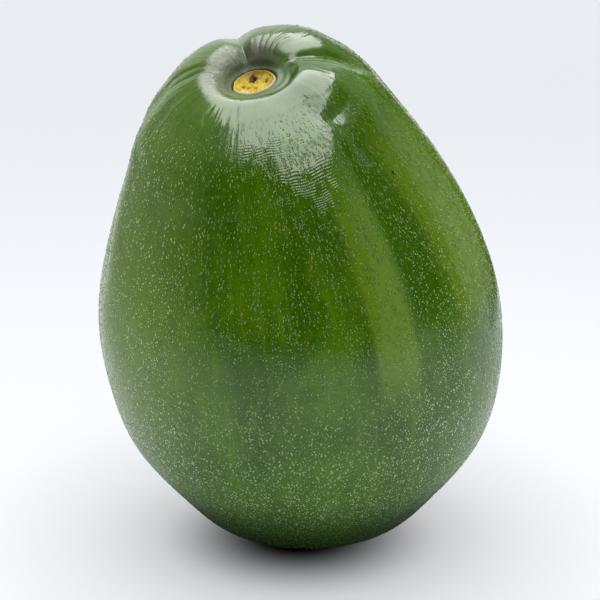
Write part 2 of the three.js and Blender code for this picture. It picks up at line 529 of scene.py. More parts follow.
uneven = noise(joined(skin_tree, round_x * 2.1, round_y * 2.1, share * 9), 1.0, 2.0)
some_only = fade(noise(joined(skin_tree, round_x * 3.4, round_y * 3.4, 4.0)), 0.42, 0.6)
back_right = fade(maths("ABSOLUTE", angle - PLEATED_WALL), 30, 8)
pleat = maths("SINE", turn_here * skin_in["Pleats"] + uneven * 15)
pleat = pleat * skin_in["Pleat depth"] * (0.3 + some_only) * (0.03 + 0.97 * back_right)
pleat = pleat * fade(share, 0.94, 0.957) * fade(share, 0.985, 0.968)
wrinkle = maths("SINE", turn_here * skin_in["Wrinkles"] + uneven * 21)
wrinkle = wrinkle * skin_in["Wrinkle depth"] * fade(share, 0.9, 0.945) * fade(share, 0.995, 0.975)
gathered = (pleat + wrinkle) * fade(maths("ABSOLUTE", angle - SMOOTH_LOBE), 26, 44)
print("pleats:", pleat_inputs["Pleats"], "hollow in mm:", HOLLOW_DEPTH)

# %% [markdown]
# ### Growing the skin
#
# Folds, creases, hollow and pleats add up to one push along the outward direction. It fades out at the
# socket, and the bend comes last. We run the tree once and read back where each point lies, because
# the pores need to know which way the fruit grew.

# %% Grow the skin
push = fold_height({**FOLDS, **CREASES}, angle, share) * MM - hollow * (HOLLOW_DEPTH * MM)
push = (push + gathered) * fade(share, 1.0, 0.988)
pushed = vector("ADD", position(skin_tree), scaled(named(skin_tree, "outward"), push))
close_tree(moved(skin_in["Geometry"], bent(pushed)), skin_wax)

skin.data = run_tree(skin, skin_tree, pleat_inputs)
places = np.empty(len(skin.data.vertices) * 3, np.float32)
skin.data.vertices.foreach_get("co", places)
places = places.reshape(-1, 3)
print("skin tree nodes:", len(skin_tree.nodes), "skin faces:", len(skin.data.polygons))
print("skin box in mm:", (places.min(0) * 1000).round(1), (places.max(0) * 1000).round(1))

# %% [markdown]
# ## Pores
#
# The skin is sprinkled with pale corky pores. They are sparse near the stem, where growth has drawn
# them out along the fruit, and round and crowded towards the blossom end. Geometry Nodes scatter points
# with a least spacing, turn each to the skin and to the direction of growth, put one low dome there, and
# make all of it real. Each dome is a five-sided cone with a swollen waist, eleven faces in all. It
# remembers how high up each of its points lies, because a pore has a pale top and a foot darkened with
# painted shade.

# %% Pore tree
rings = places[1:-1].reshape(len(ring_share), AROUND, 3)
uphill = np.gradient(rings, axis=0)
uphill /= np.linalg.norm(uphill, axis=-1, keepdims=True)
write_numbers(skin, "uphill", np.vstack([[[0, 1, 0]], uphill.reshape(-1, 3), [[0, 0, 1]]]))


def aligned(rotation, towards, axis, pivot="AUTO"):
    settings = {"axis": axis, "pivot_axis": pivot}
    sockets = {"Rotation": rotation, "Vector": towards}
    return node(towards.tree, "FunctionNodeAlignRotationToVector", settings, sockets)


def stored(geometry, domain, name, value):
    settings = {"data_type": "FLOAT", "domain": domain}
    values = {"Geometry": geometry, "Name": name, "Value": value}
    return node(geometry.tree, "GeometryNodeStoreNamedAttribute", settings, values)


def pore_dome(tree):
    """A low dome, one unit wide and high, that knows how high up each of its points lies."""
    cone = {"Vertices": 5, "Side Segments": 2, "Radius Top": 0.0, "Radius Bottom": 0.5, "Depth": 1.0}
    cone = node(tree, "GeometryNodeMeshCone", {"fill_type": "NGON"}, cone)["Mesh"]
    along = parted(position(tree))[2]
    waist = along * (1 - along)
    swollen = vector("MULTIPLY", position(tree), joined(tree, 1 + waist, 1 + waist, 1.0))
    swollen = vector("ADD", swollen, joined(tree, 0.0, 0.0, waist * 1.2 - 0.25))
    return moved(stored(cone, "POINT", "pore_height", along * 2), swollen)


def pore_tree(name, inputs, first, last):
    """Domes between two shares of the outline, each with a soft edge."""
    tree, source = new_tree(name, inputs)
    grown = named(tree, "grown")
    share = parted(grown)[2]
    patchy = fade(noise(vector("MULTIPLY", grown, (13, 13, 16)), 1.0, 2.0), 0.35, 0.6)
    scatter = {
        "Mesh": source["Geometry"],
        "Distance Min": source["Spacing"],
        "Density Max": source["Per square metre"],
        "Density Factor": fade(share, *first) * fade(share, *last) * (0.45 + 0.55 * patchy),
        "Seed": source["Seed"],
    }
    settings = {"distribute_method": "POISSON"}
    scatter = node(tree, "GeometryNodeDistributePointsOnFaces", settings, scatter)
    facing = aligned(scatter["Rotation"], scatter["Normal"], "Z")
    facing = aligned(facing, named(tree, "uphill"), "Y", "Z")
    settings = {"data_type": "FLOAT"}
    chance = node(tree, "FunctionNodeRandomValue", settings, {"Seed": source["Seed"]}, out=1)
    width = source["Width"] * (0.45 + 0.75 * chance * chance)
    long = width * (1 + source["Stretch"] * (0.4 + chance))
    placed = {
        "Points": scatter["Points"],
        "Instance": pore_dome(tree),
        "Rotation": facing,
        "Scale": joined(tree, width, long, source["Height"] * (0.6 + 0.8 * chance)),
    }
    placed = node(tree, "GeometryNodeInstanceOnPoints", {}, placed)
    close_tree(stored(placed, "INSTANCE", "pore_tone", chance), pore_cork)
    return tree


print("pore trees are ready")

# %% [markdown]
# ### Scattering in bands
#
# On the real skin the pores change from the stem to the blossom end, so the fruit is scattered in bands,
# each with its own spacing, width, stretch and seed. Neighbouring bands fade into each other, so that
# no seam shows. The seeds are fixed, and the same pores grow on every run.

# %% Scatter the pores
# Where each band fades in and out, least spacing in mm, number per square mm, width and height in mm,
# and how much longer than wide its domes are drawn out
BANDS = {
    "base_pores": ((0.04, 0.1), (0.22, 0.18), 0.4, 6.6, 0.54, 0.1, 0.1),
    "belly_pores": ((0.18, 0.22), (0.34, 0.3), 0.39, 6.9, 0.51, 0.09, 0.15),
    "waist_pores": ((0.3, 0.34), (0.46, 0.42), 0.4, 6.6, 0.47, 0.09, 0.25),
    "flank_pores": ((0.42, 0.46), (0.58, 0.54), 0.43, 5.6, 0.43, 0.09, 0.15),
    "ridge_pores": ((0.54, 0.58), (0.74, 0.69), 0.49, 4.2, 0.41, 0.1, 0.3),
    "neck_pores": ((0.69, 0.74), (0.94, 0.85), 0.58, 2.9, 0.41, 0.11, 0.8),
}
pores = []
for seed, (name, band) in enumerate(BANDS.items(), 11):
    first, last, spacing, number, width, height, stretch = band
    inputs = {
        "Spacing": spacing * MM, "Per square metre": number * 1e6, "Seed": seed,
        "Width": width * MM, "Height": height * MM, "Stretch": stretch,
    }
    mesh = run_tree(skin, pore_tree(name, inputs, first, last), inputs)
    mesh.name = name
    pores.append(new_object(name, mesh))
    print(name, "domes:", len(mesh.vertices) // 11, "faces:", len(mesh.polygons))

# %% [markdown]
# ## The stem stub
#
# The stem was cut level with the skin, and its face shows the wood: a yellow disc with a thin pale rim,
# a rough dished floor, and dark pits where the vessels ended. The eye goes to it first, so it gets a
# fine polar grid of its own. The pits are listed one by one, and their depth is kept as a number for the
# material to follow.

# %% Carve the cut face
FACE_RINGS = 70
STUB_AROUND = 180

# Place on the face to the right and to the back, half widths that way, all as shares of its radius,
# and depth in mm
PITS = [
    (-0.06, 0.45, 0.15, 0.25, 0.7), (-0.5, 0.03, 0.09, 0.13, 0.5), (0.52, 0.13, 0.1, 0.14, 0.45),
    (0.0, -0.24, 0.1, 0.17, 0.35), (-0.29, -0.24, 0.08, 0.11, 0.4), (-0.42, 0.18, 0.15, 0.14, 0.2),
    (0.03, -0.5, 0.06, 0.1, 0.35), (0.73, 0.36, 0.06, 0.07, 0.3), (0.7, -0.28, 0.07, 0.08, 0.3),
    (0.82, 0.02, 0.05, 0.1, 0.3), (-0.78, -0.2, 0.08, 0.12, 0.3), (0.3, 0.66, 0.2, 0.1, 0.2),
    (-0.66, 0.42, 0.09, 0.09, 0.25), (0.42, -0.45, 0.05, 0.06, 0.2), (0.24, 0.02, 0.05, 0.06, 0.2),
]


def lumps(x, y, count, size, seed):
    """A soft random relief from a few dozen waves, the same on every run."""
    dice = np.random.default_rng(seed)
    out = np.zeros_like(x)
    for _ in range(count):
        way = dice.uniform(0, 2 * np.pi)
        pace = 2 * np.pi / size * dice.uniform(0.6, 1.6)
        out += np.sin(pace * (x * np.cos(way) + y * np.sin(way)) + dice.uniform(0, 2 * np.pi))
    return out / math.sqrt(count)


stub_turn = np.radians(np.linspace(-180, 180, STUB_AROUND, endpoint=False))
reach, way = np.meshgrid(np.linspace(1, 0, FACE_RINGS, endpoint=False) ** 0.85, stub_turn, indexing="ij")
edge = 1 - 0.012 * (1 + np.sin(3 * way + 1)) - 0.008 * np.sin(7 * way)
disc_x, disc_y = reach * np.sin(way) * edge, -reach * np.cos(way) * edge
pit_depth = np.zeros_like(disc_x)
for right, back, wide, deep_wide, deep in PITS:
    off = np.hypot((disc_x - right) / wide, (disc_y - back) / deep_wide)
    off = off * (1 + 0.3 * lumps(disc_x, disc_y, 30, 0.2, 8))
    pit_depth = np.maximum(pit_depth, deep * np.exp(-(np.abs(off) ** 3)))
raised_rim = 0.28 * np.exp(-(((reach - 0.92) / 0.06) ** 2))
sunk_floor = 0.35 * np.clip((1 - reach) / 0.45, 0, 1) ** 0.7
grain = 0.07 * lumps(disc_x, disc_y, 40, 0.34, 3) + 0.05 * lumps(disc_x, disc_y, 60, 0.14, 5)
face_height = AXIS_LENGTH - 0.12 + (raised_rim - sunk_floor) + grain * (1 - reach**8) - pit_depth
face_height -= 0.3 * np.clip((reach - 0.95) / 0.05, 0, 1)
face_rings = np.stack([disc_x * BUTTON_RADIUS, disc_y * BUTTON_RADIUS * DEPTH_SHARE, face_height], -1)
print("pits:", len(PITS), "deepest in mm:", pit_depth.max().round(2))

# %% [markdown]
# ### Closing the stub
#
# Below the cut face the stub narrows into a plain root that fills its socket. Face and root make one
# closed mesh, which then goes through the same bend as the skin.

# %% Close the stub with its root
root = np.array([
    [BUTTON_RADIUS * 0.9, AXIS_LENGTH - BUTTON_ROOT],
    [BUTTON_RADIUS * 0.95, AXIS_LENGTH - 2],
    [BUTTON_RADIUS * 0.975, AXIS_LENGTH - 0.8],
])
stub_rings = np.concatenate([turned(root, stub_turn), face_rings])
foot, crown = (0, 0, AXIS_LENGTH - BUTTON_ROOT), (0, 0, AXIS_LENGTH - 0.5)
stub = ring_mesh("stem_stub", stub_rings, foot, crown)
root_x, root_y = np.tile(np.sin(stub_turn), 3), np.tile(-np.cos(stub_turn), 3)
every_x = np.concatenate([[0], root_x, disc_x.ravel(), [0]])
every_y = np.concatenate([[0], root_y, disc_y.ravel(), [0]])
every_pit = np.concatenate([[0], np.zeros_like(root_x), pit_depth.ravel(), [0.1]])
write_numbers(stub, "disc", np.stack([every_x, every_y, every_pit], -1))
stub.data = run_tree(stub, stub_tree, {})
print("stem stub faces:", len(stub.data.polygons))

# %% [markdown]
# ## The waxy green skin
#
# Seen close, the skin is a deep saturated green under a thin clear wax. Its colour comes from several
# layers: broad patches, stripes that run from stem to blossom end and are partly painted reflections,
# pale dots between the raised pores, a corky ring inside the stem cavity, and painted shade and painted
# reflections in places. All are worked out in the fruit's own grown coordinates, round and along, so
# that streaks follow the fruit and are drawn narrower near the stem.

# %% Skin material: coordinates
def opened(material):
    material.use_nodes = True
    material.node_tree.nodes.clear()
    return material.node_tree


def attribute(tree, name, out="Vector"):
    return node(tree, "ShaderNodeAttribute", {"attribute_name": name})[out]


def mix(factor, a, b):
    """Blends colour a into colour b."""
    a, b = (c if isinstance(c, Flow) else (*c, 1) for c in (a, b))
    settings = {"data_type": "RGBA"}
    return node(factor.tree, "ShaderNodeMix", settings, {0: factor, 6: a, 7: b}, out=2)


def surface(tree, values):
    """Ends a material with one principled surface."""
    shader = node(tree, "ShaderNodeBsdfPrincipled", {}, values)
    node(tree, "ShaderNodeOutputMaterial", {}, {"Surface": shader})


wax = opened(skin_wax)
grown = attribute(wax, "grown")
right_side, back_side, share = parted(grown)
in_space = node(wax, "ShaderNodeTexCoord")["Object"]


def on_skin(across, along):
    """Coordinates that grow by one every so many mm across the belly, and along the outline."""
    round_it = FRUIT_WIDTH / 2 / across
    return vector("MULTIPLY", grown, (round_it, round_it, OUTLINE_LENGTH / along))


def stripe(angle, drift, wide):
    """A soft line along the fruit at an angle from the front, which drifts towards the base."""
    at = (share * -drift + (angle + drift)) * math.radians(1)
    sine, cosine = maths("SINE", at), maths("COSINE", at)
    facing = right_side * sine - back_side * cosine
    aside = maths("ABSOLUTE", right_side * cosine + back_side * sine)
    return fade(aside, math.sin(math.radians(wide)), 0) * fade(facing, 0, 0.1)


near_stem = fade(share, 0.55, 0.93)
near_base = fade(share, 0.42, 0.2) * fade(share, 0.12, 0.24)
print("coordinates are ready; the belly is", FRUIT_WIDTH, "mm wide")

# %% [markdown]
# ### Dots under the wax
#
# Between the raised pores lie many more that have not broken through the wax. A cell texture gives
# each its own size. Low down they are round, and on the neck long and thin, because the coordinates are
# stretched along the fruit. Each dot is a tiny mound with a shallow moat, and the same masks tint it:
# pale on the mound, and darker in the moat, a painted shade.

# %% Skin material: dots
def dots(across, along, kept, nudge):
    """Masks of the dots and of the moats round them. kept: which share of the cells has a dot."""
    place = vector("ADD", on_skin(across, along), (nudge, nudge, nudge))
    cell = node(wax, "ShaderNodeTexVoronoi", {"feature": "F1"}, {"Vector": place, "Scale": 1.0})
    luck, other_luck, _ = parted(cell["Color"])
    reach = cell["Distance"] / (0.18 + 0.14 * luck)
    has_dot = fade(other_luck, 1 - kept, 1.04 - kept)
    dot = fade(reach, 1.15, 0.7) * has_dot
    return dot, fade(reach, 2.2, 1.3) * has_dot - dot


low_dot, low_moat = dots(0.74, 0.78, 0.75, 0.3)
high_dot, high_moat = dots(0.8, 1.5, 0.6, 5.3)
upper = fade(share, 0.4, 0.62)
dot = (low_dot * (1 - upper) + high_dot * upper) * fade(share, 0.95, 0.86)
moat = (low_moat * (1 - upper) + high_moat * upper) * fade(share, 0.95, 0.86)
print("dot masks are ready")

# %% [markdown]
# ### Colour
#
# The colours are laid one over the other from broad to fine, each with its own mask, as a painter
# glazes. Values are linear, as the renderer wants them. First come patches, streaks, the pale ridge and
# the dark groove right of the middle, which are partly painted reflections, the pale flanks, which are
# painted reflections of the bright room, and two bright spots.

# %% Skin material: broad colours
LEAF_GREEN = (0.082, 0.205, 0.001)
DEEP_GREEN = (0.036, 0.11, 0.001)
BRIGHT_GREEN = (0.105, 0.25, 0.001)
OLIVE = (0.105, 0.188, 0.002)
# Pale green, used for pale streaks and for the painted reflections on the ridge and the flanks
PALE_GREEN_AND_REFLECTION = (0.18, 0.31, 0.014)

patches = noise(on_skin(15, 26), 1.0, 2.0, 0.55)
blotches = noise(on_skin(5, 8), 1.0, 2.0, 0.55)
mottle = noise(in_space, 620, 2.0, 0.6)
streaks = noise(on_skin(1.9, 22), 1.0, 2.0, 0.6)

colour = mix(fade(patches, 0.36, 0.66), DEEP_GREEN, LEAF_GREEN)
colour = mix(fade(blotches, 0.52, 0.74) * 0.6, colour, OLIVE)
colour = mix(fade(blotches, 0.46, 0.28) * 0.45, colour, DEEP_GREEN)
colour = mix(fade(streaks, 0.5, 0.74) * 0.4, colour, DEEP_GREEN)
colour = mix(fade(streaks, 0.46, 0.28) * 0.3, colour, PALE_GREEN_AND_REFLECTION)

# The pale ridge and the dark groove are partly the skin's own stripes and partly painted reflections of
# pale and dark parts of the room
pale_ridge_and_reflection = fade(stripe(31, -6, 11) + streaks * 0.3, 0.3, 0.75)
pale_ridge_and_reflection = pale_ridge_and_reflection * fade(share, 0.38, 0.5) * fade(share, 0.83, 0.77)
colour = mix(pale_ridge_and_reflection * 0.8, colour, PALE_GREEN_AND_REFLECTION)
dark_groove_and_reflection = fade(stripe(46, -6, 10) + streaks * 0.35, 0.3, 0.7) * fade(share, 0.48, 0.62)
colour = mix(dark_groove_and_reflection * 0.9, colour, DEEP_GREEN)
# Painted reflection of the bright room on the right flank
right_flank_reflection = fade(right_side + streaks * 0.14, 0.84, 0.95) * fade(share, 0.38, 0.55)
right_flank_reflection = right_flank_reflection * fade(share, 0.92, 0.76) * fade(share, 0.44, 0.56)
colour = mix(right_flank_reflection * 0.9, colour, PALE_GREEN_AND_REFLECTION)
bright_front = stripe(29, -6, 10) * fade(share, 0.76, 0.79) * fade(share, 0.84, 0.81)
bright_right = stripe(86, 0, 20) * fade(share, 0.83, 0.87) * fade(share, 0.93, 0.91)
for bright in (bright_front, bright_right):
    colour = mix(bright * 0.8, colour, BRIGHT_GREEN)
# Painted reflection of the bright room on the left flank
left_flank_reflection = fade(right_side, -0.3, -0.8) * fade(share, 0.25, 0.4)
colour = mix(left_flank_reflection * 0.65, colour, PALE_GREEN_AND_REFLECTION)
print("nodes for the broad colours:", len(wax.nodes))

# %% [markdown]
# ### Haze, dots and marks
#
# Towards the base and on both sides a painted reflection of the pale table and walls greys the green.
# Over it go the darker neck, a grain, the dots and their moats in painted shade, painted shade along the
# creases on the left shoulder, painted shade on the underside, and one small blemish.

# %% Skin material: haze, dots and marks
BASE_REFLECTION_TINT = (0.12, 0.205, 0.06)
SIDE_REFLECTION_TINT = (0.26, 0.38, 0.19)
DOT_GREEN = (0.3, 0.44, 0.08)
MOAT_SHADE_GREEN = (0.03, 0.075, 0.002)
CREASE_SHADE_GREEN = (0.02, 0.06, 0.002)
UNDERSIDE_SHADE_GREEN = (0.006, 0.026, 0.0005)
BLEMISH_BROWN = (0.012, 0.012, 0.006)

# Painted reflection of the pale table towards the base, and of the bright walls on both sides
base_reflection = near_base * (0.4 + 0.5 * fade(maths("ABSOLUTE", right_side), 0.4, 0.9))
colour = mix(base_reflection, colour, BASE_REFLECTION_TINT)
side_reflection = fade(right_side + (patches - 0.5) * 0.5, -0.6, -0.9) + fade(right_side, 0.8, 0.98)
side_reflection = side_reflection * fade(share, 0.12, 0.22) * fade(share, 0.38, 0.26)
colour = mix(side_reflection * 0.4, colour, SIDE_REFLECTION_TINT)
colour = mix(near_stem * 0.5, colour, DEEP_GREEN)
colour = mix(fade(mottle, 0.5, 0.72) * 0.4, colour, OLIVE)
colour = mix(fade(mottle, 0.48, 0.3) * 0.4, colour, DEEP_GREEN)
# Painted shade in the moats round the dots
colour = mix(moat * 0.4, colour, MOAT_SHADE_GREEN)
colour = mix(dot * (0.5 + 0.25 * near_base), colour, DOT_GREEN)
# Painted shade along the creases on the left shoulder
shoulder_crease_shade = stripe(-111, 70, 3.2) * fade(share, 0.8, 0.86) * fade(share, 0.97, 0.93)
colour = mix(shoulder_crease_shade * 0.7, colour, CREASE_SHADE_GREEN)
# Painted shade, darker towards the bottom of the fruit
underside_shade = fade(parted(in_space)[2], 0.025, 0.005)
colour = mix(underside_shade * 0.9, colour, UNDERSIDE_SHADE_GREEN)
blemish = stripe(57.7, 0, 1.1) * fade(maths("ABSOLUTE", share - 0.7716), 0.0032, 0.0018)
colour = mix(blemish, colour, BLEMISH_BROWN)
print("nodes with haze and marks:", len(wax.nodes))

# %% [markdown]
# ### The corky cavity
#
# Inside the stem cavity the wax gives way to thin grey-brown cork, thickest on the wall at the back
# left, and worn off in flecks. The groove at the foot of the right lobe and the mouth of the socket next
# to the stub are darkened with painted shade.

# %% Skin material: cork
CORK_GREYS = (0.062, 0.055, 0.042), (0.15, 0.135, 0.11)
RUSTY_CORK = (0.26, 0.15, 0.06)
LOBE_FOOT_SHADE_GREEN = (0.022, 0.07, 0.001)
SOCKET_SHADE_GREEN = (0.03, 0.042, 0.006)

cork_grain = noise(in_space, 950, 3.0, 0.7)
back_left = fade(back_side * 0.8 - right_side * 0.6, -0.5, 0.7)
in_cavity = fade(share, 0.945, 0.972)
cork = in_cavity * (0.12 + 0.88 * back_left) * fade(cork_grain, 0.25, 0.6)
cork_tint = mix(fade(cork_grain, 0.5, 0.75), *CORK_GREYS)
colour = mix(cork * 0.8, colour, cork_tint)
flecks = in_cavity * fade(cork_grain, 0.66, 0.74) * back_left
colour = mix(flecks * 0.6, colour, RUSTY_CORK)
# Painted shade in the groove at the foot of the right lobe and in the mouth of the socket
lobe_foot_shade = stripe(58, 0, 48) * fade(share, 0.962, 0.969) * fade(share, 0.985, 0.978)
colour = mix(lobe_foot_shade * 0.9, colour, LOBE_FOOT_SHADE_GREEN)
colour = mix(fade(share, 0.988, 1.0) * 0.8, colour, SOCKET_SHADE_GREEN)
print("nodes with cork:", len(wax.nodes))

# %% [markdown]
# ### Wax and relief
#
# The wax is clear and smooth, but it lies on a skin with a fine grain. Several reliefs break up the
# studio reflections: an orange-peel grain everywhere, shallow flutes that run down from the stem, and
# tight ripples across the front of the neck, where the skin was squeezed as it grew. Heights are in
# millimetres.

# %% Skin material: wax
peel = noise(in_space, 1150)
swell = noise(in_space, 210)
flutes = noise(on_skin(4.5, 50))
wavy = noise(on_skin(9, 7)) * 22
ripples = maths("SINE", share * (OUTLINE_LENGTH * 2 * math.pi / 0.6) + wavy)
rippled = fade(share, 0.74, 0.81) * fade(share, 0.91, 0.87) * fade(back_side, 0.1, -0.5)
rippled = rippled * fade(right_side, -0.42, -0.12) * fade(right_side, 0.6, 0.38)
rippled = rippled * fade(noise(on_skin(3, 4)), 0.3, 0.55)

relief = dot * 0.07 - moat * 0.03 + peel * 0.016 + swell * 0.03
relief = relief + flutes * 0.15 * fade(share, 0.76, 0.9) * fade(share, 0.97, 0.93)
relief = relief + ripples * 0.016 * rippled
relief = relief + cork_grain * 0.09 * in_cavity * (0.2 + back_left)
bump = node(wax, "ShaderNodeBump", {}, {"Strength": 1.0, "Distance": MM, "Height": relief})
gloss = 0.06 + 0.05 * fade(streaks, 0.35, 0.75) + dot * 0.08 + cork * 0.35
gloss = gloss + 0.1 * fade(share, 0.8, 0.9) * fade(streaks, 0.3, 0.6) + 0.3 * fade(share, 0.974, 0.986)
surface(wax, {"Base Color": colour, "Roughness": gloss, "Normal": bump, "IOR": 1.48})
print("skin material nodes:", len(wax.nodes))

# %% [markdown]
# ## Pore cork
#
# The raised pores are dry, pale cork, a little lighter or darker from one to the next. They are almost
# white towards the blossom end and greener on the neck. On the flanks they are paler than in front, a
# painted sheen. The foot of each is darkened with painted shade, and under the fruit they take the same
# painted shade as the skin.

# %% Pore material
# The darkest and the palest pore of each kind
GREEN_PORES = (0.105, 0.215, 0.006), (0.195, 0.32, 0.034)
GREEN_PORES_IN_SHEEN = (0.25, 0.41, 0.08), (0.66, 0.82, 0.38)
WHITE_PORES = (0.17, 0.29, 0.07), (0.42, 0.58, 0.28)
WHITE_PORES_IN_SHEEN = (0.34, 0.48, 0.2), (0.84, 0.95, 0.66)
PORE_FOOT_SHADE = (0.04, 0.105, 0.002)
PORE_UNDERSIDE_SHADE = (0.016, 0.055, 0.002)

corky = opened(pore_cork)
tone = attribute(corky, "pore_tone", "Fac")
pore_height = attribute(corky, "pore_height", "Fac")
pore_place = node(corky, "ShaderNodeTexCoord")["Object"]
pore_x, _, pore_z = parted(pore_place)
# Painted sheen: pores on the flanks are paler than in front
flank_sheen = fade(maths("ABSOLUTE", pore_x + 0.002), 0.016, 0.036) * fade(pore_z, 0.012, 0.034)
flank_sheen = flank_sheen * (0.65 + 0.35 * fade(pore_x, 0.01, -0.01))
green_pore = mix(flank_sheen, mix(tone, *GREEN_PORES), mix(tone, *GREEN_PORES_IN_SHEEN))
white_pore = mix(flank_sheen, mix(tone, *WHITE_PORES), mix(tone, *WHITE_PORES_IN_SHEEN))
pore_colour = mix(fade(pore_z, 0.075, 0.03), green_pore, white_pore)
# Painted shade round the foot of each pore
foot_shade = fade(pore_height, 0.8, 0.35) * (1 - 0.1 * flank_sheen)
pore_colour = mix(foot_shade, pore_colour, PORE_FOOT_SHADE)
# Painted shade on the pores under the fruit
pore_colour = mix(fade(pore_z, 0.024, 0.007) * 0.92, pore_colour, PORE_UNDERSIDE_SHADE)
pore_gloss = 0.22 + 0.25 * noise(pore_place, 1500)
surface(corky, {"Base Color": pore_colour, "Roughness": pore_gloss, "Specular IOR Level": 0.2})
print("pore material nodes:", len(corky.nodes))

# %% [markdown]
# ## Stem wood
#
# The cut face is damp yellow wood. Towards the back it is painted olive-brown, the shade of the socket
# wall. It has a cream rim, painted only along the front, where it catches the light, several stains, and
# dark pits. Each stain has a place on the face, given as shares of its radius to the right and to the
# back.

# %% Stem wood material
WOOD_YELLOWS = (0.86, 0.51, 0.008), (1.0, 0.84, 0.08)
BACK_SHADE_BROWN = (0.24, 0.15, 0.006)
RIM_CREAM = (0.98, 0.86, 0.42)
PIT_BROWN = (0.095, 0.04, 0.004)
EDGE_BROWN = (0.16, 0.09, 0.015)

# Place of the stain to the right and to the back, half widths that way, strength and colour
LOWER_STAINS = [
    (0.32, 0.34, 0.36, 0.28, 0.5, (0.42, 0.34, 0.012)),
    (-0.79, -0.2, 0.16, 0.2, 0.7, (0.76, 0.7, 0.04)),
]
FIBROUS_STAIN = (0.75, 0.02, 0.26, 0.5, 0.8, (0.52, 0.22, 0.03))
UPPER_STAINS = [
    (-0.06, 0.5, 0.24, 0.42, 0.7, (0.13, 0.055, 0.006)),
    (0.09, -0.73, 0.2, 0.2, 0.95, (1.0, 0.3, 0.012)),
    (-0.43, -0.52, 0.22, 0.16, 0.7, (0.95, 0.76, 0.55)),
]

wood = opened(stem_wood)
disc = attribute(wood, "disc")
disc_right, disc_back, pit = parted(disc)
flat_disc = joined(wood, disc_right, disc_back, 0.0)
from_middle = length(flat_disc)
wood_grain = noise(disc, 7.0, 3.0, 0.7)
fibres = noise(disc, 16.0, 2.0, 0.6)


def stained(colour, stain, broken_up=None):
    """Lays a soft stain over a colour. broken_up: a mask that breaks it up."""
    right, back, wide, deep, strength, stain_colour = stain
    off = vector("MULTIPLY", vector("SUBTRACT", flat_disc, (right, back, 0)), (1 / wide, 1 / deep, 0))
    mask = fade(length(off), 1.3, 0.4)
    if broken_up:
        mask = mask * broken_up
    return mix(mask * strength, colour, stain_colour)


wood_colour = mix(fade(wood_grain, 0.36, 0.66), *WOOD_YELLOWS)
for stain in LOWER_STAINS:
    wood_colour = stained(wood_colour, stain)
wood_colour = stained(wood_colour, FIBROUS_STAIN, fade(fibres, 0.4, 0.58))
# Painted shade: the back of the face darkens, as in the shade of the socket wall
shaded_back = fade(disc_back + (wood_grain - 0.5) * 0.6, 0.25, 0.85)
wood_colour = mix(shaded_back * 0.7, wood_colour, BACK_SHADE_BROWN)
for stain in UPPER_STAINS:
    wood_colour = stained(wood_colour, stain)
# The rim is pale cream, but painted only along the front, where it is partly a painted highlight
lit_rim_side = fade(disc_right * 0.35 - disc_back, -0.35, -0.02)
wood_colour = mix(fade(from_middle, 0.84, 0.92) * lit_rim_side * 0.85, wood_colour, RIM_CREAM)
wood_colour = mix(fade(pit + (fibres - 0.5) * 0.35, 0.16, 0.46), wood_colour, PIT_BROWN)
wood_colour = mix(fade(from_middle, 0.975, 1.01), wood_colour, EDGE_BROWN)
wood_relief = wood_grain * 0.1 + fibres * 0.05
wood_bump = node(wood, "ShaderNodeBump", {}, {"Strength": 1.0, "Distance": MM, "Height": wood_relief})
wood_gloss = 0.38 + 0.25 * wood_grain
wood_finish = {"Base Color": wood_colour, "Roughness": wood_gloss, "Normal": wood_bump}
surface(wood, {**wood_finish, "Specular IOR Level": 0.15})
print("wood material nodes:", len(wood.nodes))

# %% [markdown]
# ## The studio
#
# The fruit stands on a plain pale table in a white room. The table top glows softly, a painted light
# that stands in for light from below, and dims far away. Round the foot of the fruit the glow is cut
# away
# and the table is painted darker: a painted shadow with a dark core. Reflections in the wax see a wider
# painted shadow, so the underside stays green.

# %% The opal table
def flat_piece(name, corners):
    mesh = bpy.data.meshes.new(name)
    mesh.from_pydata(corners, [], [tuple(range(len(corners)))])
    thing = new_object(name, mesh)
    return thing


TABLE_RADIUS = 4.0
TABLE_GREY = (0.455, 0.47, 0.49)
SHADOW_GREY = (0.03, 0.032, 0.034)
SHADOW_MIDDLE = (-0.002, -0.007, 0.0)

round_table = [2 * math.pi * i / 96 for i in range(96)]
table_edge = [(TABLE_RADIUS * math.cos(a), TABLE_RADIUS * math.sin(a), 0) for a in round_table]
table_top = flat_piece("table_top", table_edge)
opal = bpy.data.materials.new("opal_table")
table_top.data.materials.append(opal)
opal_tree = opened(opal)
on_table = node(opal_tree, "ShaderNodeTexCoord")["Object"]
from_shadow = length(vector("SUBTRACT", on_table, SHADOW_MIDDLE))
table_x, table_y, _ = parted(on_table)
aside = length(joined(opal_tree, table_x, maths("MINIMUM", table_y, 0.0), 0.0))
# Painted light: the table glows, dimmer far away, and the glow is cut away round the fruit into a
# painted shadow
strength = 0.66 - 0.5 * fade(aside, 0.22, 0.5) - 0.22 * fade(table_y, -0.05, 0.4)
painted_glow = fade(from_shadow, 0.008, 0.035) * (0.82 + 0.18 * fade(from_shadow, 0.04, 0.09)) * strength
# Glossy rays see a wider painted shadow
glossy_ray = node(opal_tree, "ShaderNodeLightPath")["Is Glossy Ray"]
painted_glow = painted_glow * (1 - glossy_ray * fade(from_shadow, 0.085, 0.03) * 0.85)
glow = mix(painted_glow, (0, 0, 0), (0.96, 0.98, 1.0))
# Painted shadow: the table colour darkens round the fruit
painted_shadow_grey = mix(fade(from_shadow, 0.012, 0.05), SHADOW_GREY, TABLE_GREY)
opal_finish = {"Base Color": painted_shadow_grey, "Roughness": 0.9, "Specular IOR Level": 0.1}
surface(opal_tree, {**opal_finish, "Emission Color": glow, "Emission Strength": 1.0})
print("table nodes:", len(opal_tree.nodes))

